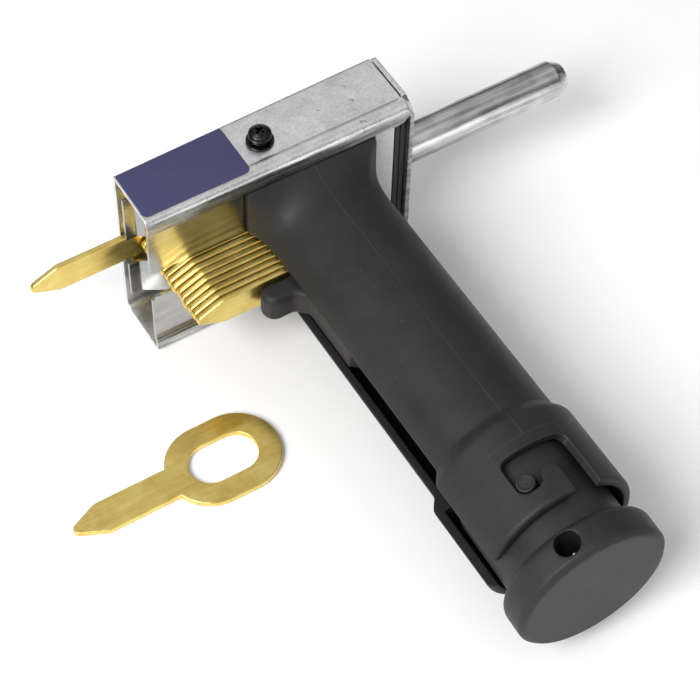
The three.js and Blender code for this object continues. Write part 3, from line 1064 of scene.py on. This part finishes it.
    def build_feed_guides(self) -> None:
        """Bent sheets that hold the front key in its lane."""
        bend_x, reach, lean, thick, y = 3.2, 9.8, 30.5, 0.8, -3.4
        drop = (reach - bend_x) * math.tan(math.radians(lean))
        plan = rounded([
            (0.2, y, 0), (bend_x, y, 0.7), (reach, y - drop, 0),
            (reach, y - drop - thick, 0), (bend_x - 0.2, y - thick, 1.4), (0.2, y - thick, 0),
        ], 6)
        for node, z0, z1 in (("upper_feed_guide", 30.35, 45.2), ("lower_feed_guide", 8.7, 20.65)):
            made = plate(node + "_sheet", [plan], z1 - z0, 0.1, Plane.XY_ALONG_Z, z0)
            fit(dress(made, self.satin), Body.FRAME, Slot.GUIDE, node)

    def build_label(self) -> None:
        """Plain film on the front part of the top."""
        film = PlainFinish(
            "blue_label_film", (0.040, 0.040, 0.110), (0.046, 0.046, 0.120), 0.0, (0.38, 0.5), 500, 0.04
        ).make()
        start, end, near, far = 0.3, 29.4, -15.7, -0.75
        outline = rounded([
            (start, near, 1.2), (end, near, 1.6), (end, far + self.spread(end, far), 0.8), (start, far, 0.5),
        ])
        made = plate("label_film", [outline], 0.15, 0.04, Plane.XY_ALONG_Z, self.height + 0.02)
        fit(dress(made, film), Body.FRAME, Slot.LABEL, "top_label")

    def build(self) -> None:
        """Builds the whole housing."""
        self.build_channel()
        self.build_rear()
        self.build_guides()
        self.build_feed_guides()
        self.build_label()


# ------------------------------------------------------------------ top screw
@dataclass
class ScrewSet:
    """Black cross-recess screw with its two washers."""

    x: float = 35.7
    y: float = -8.6
    deck: float = 51.3
    head: float = 2.9
    shaft: float = 1.5

    def place(self, r: float, z: float, angle: float) -> Vector:
        """Point at a radius, height and angle about the screw."""
        return at(self.x + r * math.cos(angle), self.y + r * math.sin(angle), z)

    def build(self) -> None:
        """Builds the washers and the screw."""
        black = PlainFinish(
            "black_zinc", (0.012, 0.012, 0.013), (0.05, 0.05, 0.05), 1.0, (0.22, 0.42), 1500, 0.12
        ).make()
        flat = plate("flat_washer_disc", [ellipse(self.x, self.y, 3.5), ellipse(self.x, self.y, 1.8)],
                     0.5, 0.1, Plane.XY_ALONG_Z, self.deck)
        fit(dress(flat, black), Body.FRAME, Slot.BLACK_STEEL, "flat_washer")
        fit(dress(self.spring_washer(), black), Body.FRAME, Slot.BLACK_STEEL, "lock_washer")
        fit(dress(self.screw(), black), Body.FRAME, Slot.BLACK_STEEL, "top_screw")
        dress_cad("hex_nut", black)

    def spring_washer(self) -> bpy.types.Object:
        """Split washer with a slight wind.

        Returns:
            The washer.
        """
        inner, outer, low, thick, rise, steps = 1.8, 2.7, self.deck + 0.78, 0.6, 0.18, 60
        points, faces = [], []
        for i in range(steps + 1):
            angle = math.radians(18 + 334 * i / steps)
            z = low + rise * i / steps
            corners = ((inner, z), (outer, z), (outer, z + thick), (inner, z + thick))
            points += [self.place(r, h, angle) for r, h in corners]
        for i in range(steps):
            for k in range(4):
                a, b = 4 * i + k, 4 * i + (k + 1) % 4
                faces.append((a, b, b + 4, a + 4))
        faces += [(0, 1, 2, 3), tuple(4 * steps + k for k in (3, 2, 1, 0))]
        return shade(from_faces("spring_washer", points, faces))

    def screw(self) -> bpy.types.Object:
        """Screw with a pan head and a cross recess.

        Returns:
            The screw.
        """
        z0 = self.deck + 1.8
        top = z0 + 2.1
        foot = z0 - 6.6
        profile = fillet([
            (0, foot, 0), (self.shaft, foot, 0.2), (self.shaft, z0, 0), (self.head, z0, 0.15),
            (self.head, z0 + 1.2, 0.9), (self.head * 0.5, top, 0.8), (0, top, 0),
        ])
        made = lathe("cross_screw", profile, self.place, 64)
        cutters = []
        for turn in (25, 115):
            arm = block("recess", Vector((-1.75, -0.36, top - 1.2)), Vector((1.75, 0.36, top + 1)))
            for vert in arm.data.vertices:
                taper = 0.45 if vert.co.z < top else 1.0
                vert.co.x *= taper
                vert.co.y *= 0.8 if vert.co.z < top else 1.0
            arm.data.transform(Matrix.Rotation(math.radians(turn), 4, "Z"))
            arm.data.transform(Matrix.Translation(at(self.x, self.y, 0)) @ Matrix.Scale(MM, 4))
            cutters.append(arm)
        carve(made, cutters)
        return soften(made, 0.09, 3)


# ------------------------------------------------------------------ keys
@dataclass
class Keys:
    """Brass ring keys: one in front, the stack, and a loose one."""

    tang: float = 25.9
    tang_width: float = 8.6
    point: float = 7.4
    tip_radius: float = 1.5
    ring_length: float = 29.8
    ring_width: float = 22.9
    band: float = 5.8
    thick: float = 1.6
    pitch: float = 1.94
    count: int = 15
    tip_x: float = 4.4
    front_y: float = -1.3
    axis_z: float = 25.5
    slack: tuple[float, float, float] = (0.3, 0.12, 0.09)
    bench_tip: Point = (-42.8, -54.5)
    brass: bpy.types.Material = field(default_factory=lambda: StampedBrass().make())

    def outline(self, x: float, y: float) -> list[Loop]:
        """Outer outline and ring hole of a key.

        Args:
            x: Place of the tip.
            y: Place of the key's middle line.

        Returns:
            The two loops.
        """
        half, big = self.tang_width / 2, self.ring_width / 2
        start, end = x + self.tang + big, x + self.tang + self.ring_length - big
        meet = math.degrees(math.asin(half / big))
        ring = [
            *arc(start, y, big, 180 + meet, 270, 14)[1:], *arc(end, y, big, -90, 90, 32),
            *arc(start, y, big, 90, 180 - meet, 14)[:-1],
        ]
        neck_x = start - big * math.cos(math.radians(meet))
        r = self.tip_radius
        run = self.point - r
        taper = math.atan2(half, run) + math.acos(r / math.hypot(run, half)) - math.pi / 2
        tang = rounded([
            (neck_x, y + half, 0), (x + self.point, y + half, 4.0), (x + r - r / math.sin(taper), y, r),
            (x + self.point, y - half, 4.0), (neck_x, y - half, 0),
        ], 8)
        inner = big - self.band
        hole = [*arc(start, y, inner, 90, 270, 24), *arc(end, y, inner, -90, 90, 24)]
        return [ring + tang, hole]

    def upright(self, name: str, x: float, y: float, z: float = 0.0) -> bpy.types.Object:
        """Key standing in the housing.

        Args:
            name: Object name.
            x: Place of the tip.
            y: Place of the far face.
            z: How far it stands off the middle height.

        Returns:
            The key.
        """
        made = plate(name, self.outline(x, self.axis_z + z), self.thick, 0.42, Plane.XZ_ALONG_NEAR, y)
        return dress(made, self.brass)

    def build(self) -> None:
        """Builds every key."""
        front = self.upright("key_in_front", self.tip_x - self.ring_length, self.front_y)
        fit(front, Body.FRONT_KEY, Slot.BRASS, "front_key")
        loose_offsets = random.Random(7)
        for i in range(1, self.count + 1):
            slack_x, slack_z, slack_y = (loose_offsets.uniform(-slack, slack) for slack in self.slack)
            x = self.tip_x + slack_x
            z = slack_z
            y = self.front_y - i * self.pitch + slack_y
            fit(self.upright(f"key_in_stack_{i:02d}", x, y, z), Body.FRAME, Slot.BRASS, f"stack_key_{i:02d}")
        loose = plate("key_on_bench", self.outline(*self.bench_tip), self.thick, 0.28, Plane.XY_ALONG_Z, 0)
        fit(dress(loose, self.brass), Body.LOOSE_KEY, Slot.BRASS, "loose_key")


# ------------------------------------------------------------------ shank
@dataclass
class Shank:
    """Round steel shank that a gun's collet grips, with the pusher in front."""

    radius: float = 5.0
    y: float = -9.0
    z: float = 25.5
    front: float = 66.0
    end: float = 126.5

    def place(self, r: float, x: float, angle: float) -> Vector:
        """Point at a radius, length and angle about the shank."""
        return at(x, self.y + r * math.cos(angle), self.z + r * math.sin(angle))

    def build(self) -> None:
        """Builds the shank and dresses the pusher."""
        steel = SatinSteel(
            "ground_shank", (30, 900, 900), (0.2, 0.2, 0.2), (0.76, 0.76, 0.75), (0.2, 0.34), 0.25
        ).make()
        profile = fillet([
            (0, self.front, 0), (self.radius, self.front, 0.3), (self.radius, self.end - 3.1, 0.8),
            (3.4, self.end, 0.4), (0, self.end, 0),
        ])
        made = lathe("shank_rod", profile, self.place, 96)
        fit(dress(made, steel), Body.SHANK, Slot.SHANK, "shank")
        dress_cad("pusher", steel)


# ------------------------------------------------------------------ handle
@dataclass
class OnHandleAxis:
    """Base of the sub-assemblies that stand round the handle's own axis."""

    x: float = 45.6
    z: float = 25.5

    def place(self, r: float, y: float, angle: float) -> Vector:
        """Point at a radius, depth and angle about the handle's axis."""
        return at(self.x + r * math.cos(angle), y, self.z + r * math.sin(angle))


@dataclass
class Handle(OnHandleAxis):
    """Moulded grip: flange, slotted tube, and collar with the bayonet window."""

    radius: float = 17.5
    bore: float = 15.4
    slot: float = 10.8
    flange_left: float = 26.9
    flange_right: float = 63.3
    flange_bottom: float = 4.2
    flange_top: float = 45.6
    back: float = -15.0
    front: float = -17.1
    blend_end: float = -29.0
    collar_radius: float = 19.6
    collar_bore: float = 17.3
    seat: float = -104.0
    collar_start: float = -100.6
    end: float = -126.3

    def ring(self, share: float, count: int) -> Loop:
        """Outline that turns from the flange's rectangle into the tube's circle.

        Args:
            share: 0 at the flange, 1 on the tube.
            count: Number of points.

        Returns:
            The outline's points.
        """
        mid_x = (self.flange_left + self.flange_right) / 2
        mid_z = (self.flange_bottom + self.flange_top) / 2
        half_x = (self.flange_right - self.flange_left) / 2
        half_z = (self.flange_top - self.flange_bottom) / 2
        out = []
        for i in range(count):
            a = math.tau * i / count
            c, s = math.cos(a), math.sin(a)
            reach = min(half_x / max(abs(c), 1e-6), half_z / max(abs(s), 1e-6))
            square = (mid_x + c * reach, mid_z + s * reach)
            circle = (self.x + c * self.radius, self.z + s * self.radius)
            out.append(tuple(q + (k - q) * share for q, k in zip(square, circle)))
        return out

    def body(self) -> bpy.types.Object:
        """Solid outer form of the flange and tube.

        Returns:
            The solid.
        """
        count, steps = 160, 16
        rows = [(self.back, 0.0), (self.front - 1.0, 0.0)]
        for k in range(1, steps + 1):
            t = k / steps
            rows.append((self.front - 1 + (self.blend_end - self.front + 1) * t, 1 - (1 - t) ** 3))
        rows += [(-60.0, 1.0), (self.collar_start + 1, 1.0)]
        points = [at(x, y, z) for y, share in rows for x, z in self.ring(share, count)]
        faces = []
        for k in range(len(rows) - 1):
            for i in range(count):
                j = (i + 1) % count
                faces.append((k * count + i, k * count + j, (k + 1) * count + j, (k + 1) * count + i))
        last = (len(rows) - 1) * count
        faces += [tuple(range(count)), tuple(range(last + count - 1, last - 1, -1))]
        return from_faces("grip_body", points, faces)

    def collar(self) -> bpy.types.Object:
        """Solid outer form of the collar.

        Returns:
            The solid.
        """
        start, inner = self.collar_start, self.radius - 0.2
        profile = fillet([
            (0, self.end, 0), (self.collar_radius, self.end, 1.1), (self.collar_radius, start - 2.2, 2.6),
            (inner, start + 1.2, 2.0), (inner, start + 4, 0), (0, start + 4, 0),
        ])
        return lathe("collar", profile, self.place, 160)

    def window(self) -> bpy.types.Object:
        """Cutter for the bayonet window, drawn flat and wrapped round the collar.

        Returns:
            The cutter.
        """
        r = self.collar_radius
        turn = math.radians(1) * r
        left, pocket, slot_left, slot_right = (turn * a for a in (26.6, 8.0, -6.0, -27.0))
        outline = rounded([
            (left, -111.3, 2.0), (left, -121.3, 2.6), (pocket, -121.3, 2.2), (pocket, -117.4, 2.3),
            (slot_left, -117.4, 2.3), (slot_left, -131, 0), (slot_right, -131, 0), (slot_right, -111.3, 2.4),
        ], 8)
        work = bmesh.new()
        low = [work.verts.new((x, y, -4)) for x, y in outline]
        high = [work.verts.new((x, y, 3)) for x, y in outline]
        work.faces.new(low)
        work.faces.new(list(reversed(high)))
        for i in range(len(outline)):
            j = (i + 1) % len(outline)
            work.faces.new((low[i], low[j], high[j], high[i]))
        cuts = 24
        for k in range(1, cuts):
            s = slot_right + (left - slot_right) * k / cuts
            parts = work.verts[:] + work.edges[:] + work.faces[:]
            bmesh.ops.bisect_plane(work, geom=parts, plane_co=(s, 0, 0), plane_no=(1, 0, 0))
        for vert in work.verts:
            angle = math.pi / 2 + vert.co.x / r
            vert.co = self.place(r + vert.co.z, vert.co.y, angle)
        bmesh.ops.triangulate(work, faces=work.faces[:])
        bmesh.ops.recalc_face_normals(work, faces=work.faces)
        mesh = bpy.data.meshes.new("window")
        work.to_mesh(mesh)
        work.free()
        return new_object("window", mesh)

    def build(self) -> None:
        """Builds the grip in one moulded piece."""
        past = self.end - 6
        made = self.body()
        carve(made, [self.collar()], Carve.JOIN)
        sides = 160
        mouth = self.back + 2
        wide, step = self.bore, mouth
        bore = lathe("bore", [(0, step), (wide, step), (wide, past), (0, past)], self.place, sides)
        wide, step = self.collar_bore, self.seat
        seat = lathe("seat", [(0, step), (wide, step), (wide, past), (0, past)], self.place, sides)
        half = self.slot / 2
        slot = block("slot", at(self.flange_left - 3, past, self.z - half), at(self.x, mouth, self.z + half))
        carve(made, [bore, seat, slot, self.window()])
        soften(made, 0.3, 4)
        plastic = MouldedPlastic(name="black_grip_plastic", axis=at(self.x, 0, self.z)).make()
        made.name = "grip"
        fit(dress(made, plastic), Body.FRAME, Slot.PLASTIC, "handle_grip")


# ------------------------------------------------------------------ follower and spring
@dataclass
class Follower(OnHandleAxis):
    """Cup behind the stack with a thumb lug through the slot, and its spring."""

    face: float = -32.5
    end: float = -63.0
    radius: float = 15.0
    skirt: float = 13.4
    bore: float = 12.2
    head: float = 4.0
    rib_end: float = -59.2
    lug_reach: float = 25.2
    lug_back: float = -38.7
    width: float = 8.4
    coil: float = 11.0
    wire: float = 0.6
    turns: int = 12
    coil_front: float = -37.2
    coil_back: float = -122.6
    stroke: float = 37.4

    def cup(self) -> bpy.types.Object:
        """Cup, rib and thumb lug in one moulded piece.

        Returns:
            The piece.
        """
        neck = self.face - self.head
        made = lathe("follower_cup", fillet([
            (0, self.face, 0), (self.radius, self.face, 0.8), (self.radius, neck, 0.3),
            (self.skirt, neck, 0.3), (self.skirt, self.end, 0.2), (self.bore, self.end, 0.2),
            (self.bore, neck, 0.8), (0, neck, 0),
        ]), self.place, 128)
        inner = self.x - self.bore - 0.4
        outer = self.x - self.radius
        tip = self.x - self.lug_reach
        low = self.z - self.width / 2
        rib_plan = rounded([(outer, self.face - 0.6, 0.3), (inner, self.face - 0.6, 0.3),
                            (inner, self.rib_end - 1.5, 0.3), (outer, self.rib_end, 0.3)])
        rib = plate("rib", [rib_plan], self.width, 0.6, Plane.XY_ALONG_Z, low)
        lug_plan = rounded([
            (tip, self.face - 0.2, 2.4), (inner, self.face - 0.2, 0.4), (inner, -50, 0.4), (outer, -48, 3.0),
            (outer - 0.1, self.lug_back - 3.0, 1.6), (outer - 2.9, self.lug_back + 0.1, 2.0),
            (tip + 0.2, self.lug_back, 3.3),
        ], 10)
        lug = plate("lug", [lug_plan], self.width, 1.7, Plane.XY_ALONG_Z, low)
        merge(made, [rib, lug])
        made.name = "follower_with_lug"
        return soften(made, 0.3, 7)

    def spring(self) -> bpy.types.Object:
        """Compression spring of round wire.

        Returns:
            The spring at its length at rest.
        """
        steps, sides = self.turns * 36, 10
        points, faces = [], []
        for i in range(steps + 1):
            t = i / steps
            angle = math.tau * self.turns * t
            y = self.coil_front + (self.coil_back - self.coil_front) * t
            for k in range(sides):
                a = math.tau * k / sides
                across, along = self.wire * math.cos(a), self.wire * math.sin(a)
                points.append(self.place(self.coil + across, y + along, angle))
        for i in range(steps):
            for k in range(sides):
                a, b = i * sides + k, i * sides + (k + 1) % sides
                faces.append((a, b, b + sides, a + sides))
        last = steps * sides
        faces += [tuple(range(sides)), tuple(range(last + sides - 1, last - 1, -1))]
        return shade(from_faces("coil_spring", points, faces))

    def build(self) -> None:
        """Builds the follower and the spring."""
        plastic = MouldedPlastic("black_follower_plastic").make()
        fit(dress(self.cup(), plastic), Body.FOLLOWER, Slot.PLASTIC, "follower")
        wire = SatinSteel(
            "spring_wire", (900, 900, 900), (0.2, 0.2, 0.2), (0.4, 0.4, 0.39), (0.25, 0.4), 0.08
        ).make()
        spring = fit(dress(self.spring(), wire), Body.FRAME, Slot.SPRING, "magazine_spring")
        tuple(at(self.x, self.coil_back, self.z))
        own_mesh(spring)


# ------------------------------------------------------------------ end cap
@dataclass
class EndCap(OnHandleAxis):
    """Bayonet cap: hollow plug, knob with a cross hole, and its stud."""

    plug: float = 15.9
    wall: float = 2.2
    plug_top: float = -109.8
    radius: float = 19.5
    flat: float = 18.2
    lean: float = 1.2
    sag: tuple[float, float, float] = (-0.35, 0, 0.1)
    shoulder: float = -132.3
    end: float = -141.4
    hole_y: float = -136.2
    hole_radius: float = 3.0
    hole_angle: float = 109.0
    pin_y: float = -118.8
    pin_radius: float = 2.25
    pin_angle: float = 107.6
    pin_top: float = 19.2
    ball: float = 1.0
    ball_depth: float = 14.6

    def rod(self, name: str, angle: float, y: float, profile: Sequence[Point]) -> bpy.types.Object:
        """Turned piece whose axis points out of the handle's axis at an angle.

        Args:
            name: Object name.
            angle: Direction from +X towards +Z, in degrees.
            y: Depth of its axis.
            profile: (radius, distance from the handle's axis) pairs.

        Returns:
            The object.
        """
        out = Vector((math.cos(math.radians(angle)), 0, math.sin(math.radians(angle))))
        side = out.cross(Vector((0, 1, 0)))
        centre = at(self.x, y, self.z)

        def spot(r: float, d: float, a: float) -> Vector:
            """Point of the rod."""
            return centre + (out * d + Vector((0, 1, 0)) * (r * math.cos(a)) + side * (r * math.sin(a))) * MM

        return lathe(name, profile, spot, 64)

    def tilt(self, piece: bpy.types.Object) -> None:
        """Sets a piece slightly crooked, as the loose bayonet lets the cap hang.

        Args:
            piece: Piece of the cap.
        """
        pivot = at(self.x, self.plug_top, self.z)
        turn = Matrix.Rotation(math.radians(-self.lean), 4, "Z")
        shift = Matrix.Translation(Vector(self.sag) * MM)
        piece.data.transform(shift @ Matrix.Translation(pivot) @ turn @ Matrix.Translation(-pivot))

    def build(self) -> None:
        """Builds the cap and its stud."""
        inner = self.plug - self.wall
        floor = self.shoulder + 3
        made = lathe("cap", fillet([
            (0, self.end, 0), (self.flat, self.end, 0.3), (self.radius, self.end + 1.3, 0.5),
            (self.radius, self.shoulder, 2.4), (self.plug, self.shoulder, 0.6),
            (self.plug, self.plug_top, 0.5), (inner, self.plug_top, 0.5), (inner, floor, 1.0), (0, floor, 0),
        ]), self.place, 160)
        r = self.hole_radius
        reach = self.radius + 2
        through = [(0, -reach), (r, -reach), (r, reach), (0, reach)]
        hole = self.rod("hole", self.hole_angle, self.hole_y, through)
        r = self.pin_radius + 0.3
        low, high = inner - 3, self.plug + 2
        socket = self.rod("socket", self.pin_angle, self.pin_y, [(0, low), (r, low), (r, high), (0, high)])
        carve(made, [hole, socket])
        made.name = "bayonet_cap"
        plastic = MouldedPlastic("black_cap_plastic", (0.013, 0.013, 0.0135), (0.024, 0.024, 0.024)).make()
        soften(made, 0.32, 4)
        self.tilt(made)
        dress(made, plastic)
        made.data.materials.append(PlainFinish(
            "worn_end_face", (0.006, 0.006, 0.006), (0.034, 0.034, 0.034), 0.0, (0.48, 0.7), 130, 0.1
        ).make())
        for face in made.data.polygons:
            if face.center.y < (ZERO.y + (self.end + 0.7) * MM) and face.normal.y < -0.9:
                face.material_index = 1
        fit(made, Body.CAP, Slot.PLASTIC, "end_cap")
        top = self.pin_top
        stud = self.rod("bayonet_stud", self.pin_angle, self.pin_y, fillet([
            (0, inner + 0.2, 0), (self.pin_radius, inner + 0.2, 0), (self.pin_radius, top, 0.35),
            (self.pin_radius - 0.55, top, 0.2), (self.pin_radius - 0.8, top - 0.3, 0.2),
            (0.35, top - 0.3, 0.1), (0, top - 0.5, 0),
        ]))
        self.tilt(stud)
        fit(dress(stud, plastic), Body.CAP, Slot.PLASTIC, "bayonet_pin")
        ball = self.rod("cross_pin_end", self.hole_angle, self.hole_y - 1.5, [
            (self.ball * math.sin(math.radians(a)), self.ball_depth + self.ball * math.cos(math.radians(a)))
            for a in range(180, -1, -15)
        ])
        self.tilt(ball)
        steel = SatinSteel(
            "pin_end_steel", (900, 900, 900), (0.55, 0.55, 0.55), (0.75, 0.75, 0.75), (0.08, 0.16), 0.02
        ).make()
        fit(dress(ball, steel), Body.CAP, Slot.SPRING)


# ------------------------------------------------------------------ studio
@dataclass
class Studio:
    """Pale floor, soft lights and the camera."""

    azimuth: float = -32.77
    elevation: float = 54.18
    roll: float = 1.73
    distance: float = 0.5356
    lens: float = 111.57
    aim: tuple[float, float, float] = (37.2, -49.2, 12.25)
    world_level: float = 0.84
    tent: tuple[Point, ...] = ((0.0, 0.35), (0.08, 0.1), (0.38, 0.14), (0.6, 0.66), (0.84, 1.0), (0.97, 0.5))

    def camera(self) -> None:
        """Camera on a long lens, above and in front of the handle."""
        data = bpy.data.cameras.new("camera")
        data.lens = self.lens
        data.sensor_width = 36
        camera = bpy.data.objects.new("camera", data)
        bpy.context.collection.objects.link(camera)
        a, e = math.radians(self.azimuth), math.radians(self.elevation)
        back = Vector((math.sin(a) * math.cos(e), -math.cos(a) * math.cos(e), math.sin(e)))
        camera.location = at(*self.aim) + back * self.distance
        look = (-back).to_track_quat("-Z", "Y").to_matrix().to_4x4()
        camera.rotation_euler = (look @ Matrix.Rotation(math.radians(self.roll), 4, "Z")).to_euler()
        bpy.context.scene.camera = camera

    def floor(self) -> None:
        """Wide pale floor under the tool."""
        half = 3.0
        corners = [Vector((sx * half, sy * half, -0.0001)) for sx, sy in ((-1, -1), (1, -1), (1, 1), (-1, 1))]
        made = from_faces("floor", corners, [(0, 1, 2, 3)])
        r = Recipe("pale_floor")
        grain = r.noise(r.stretched(1, 1, 1), 40, 3)
        pale = r.ramp(grain, ((0.0, (0.93, 0.93, 0.93)), (1.0, (0.96, 0.96, 0.96))))
        r.link(pale, "Base Color").set(Roughness=0.7)
        dress(made, r.material)

    def area(self, name: str, place: tuple[float, float, float], size: float, power: float) -> None:
        """Square soft light aimed at the tool.

        Args:
            name: Light name.
            place: Place in scene metres.
            size: Side in metres.
            power: Watts.
        """
        data = bpy.data.lights.new(name, "AREA")
        data.size = size
        data.energy = power
        light = bpy.data.objects.new(name, data)
        bpy.context.collection.objects.link(light)
        light.location = place
        aim = Vector(place) - Vector((0, 0, 0.02))
        light.rotation_euler = aim.to_track_quat("Z", "Y").to_euler()

    def world(self) -> None:
        """White tent overhead above a darker band round the room."""
        world = bpy.data.worlds.new("studio")
        world.use_nodes = True
        tree = world.node_tree
        place = tree.nodes.new("ShaderNodeTexCoord").outputs["Generated"]
        split = tree.nodes.new("ShaderNodeSeparateXYZ")
        ramp = tree.nodes.new("ShaderNodeValToRGB")
        tree.links.new(place, split.inputs["Vector"])
        tree.links.new(split.outputs["Z"], ramp.inputs["Fac"])
        marks = ramp.color_ramp.elements
        while len(marks) < len(self.tent):
            marks.new(0.5)
        for mark, (height, level) in zip(marks, self.tent):
            mark.position = height
            mark.color = (level, level, level, 1)
        tree.links.new(ramp.outputs["Color"], tree.nodes["Background"].inputs["Color"])
        tree.nodes["Background"].inputs["Strength"].default_value = self.world_level
        bpy.context.scene.world = world

    def build(self) -> None:
        """Builds camera, floor and lights."""
        self.camera()
        self.floor()
        self.world()
        self.area("left_tent", (-0.8, -0.25, 0.85), 0.6, 14.5)
        self.area("near_low", (0.3, -0.9, 0.2), 0.4, 1.2)


def main() -> None:
    """Builds the studio and every sub-assembly."""
    logging.basicConfig(level=logging.INFO, format="%(name)s: %(message)s")
    bpy.context.scene.view_settings.view_transform = "Standard"
    for part in (Studio(), Housing(), ScrewSet(), Keys(), Shank(), Handle(), Follower(), EndCap()):
        LOG.info("building %s", type(part).__name__)
        part.build()


if __name__ == "__main__":
    main()
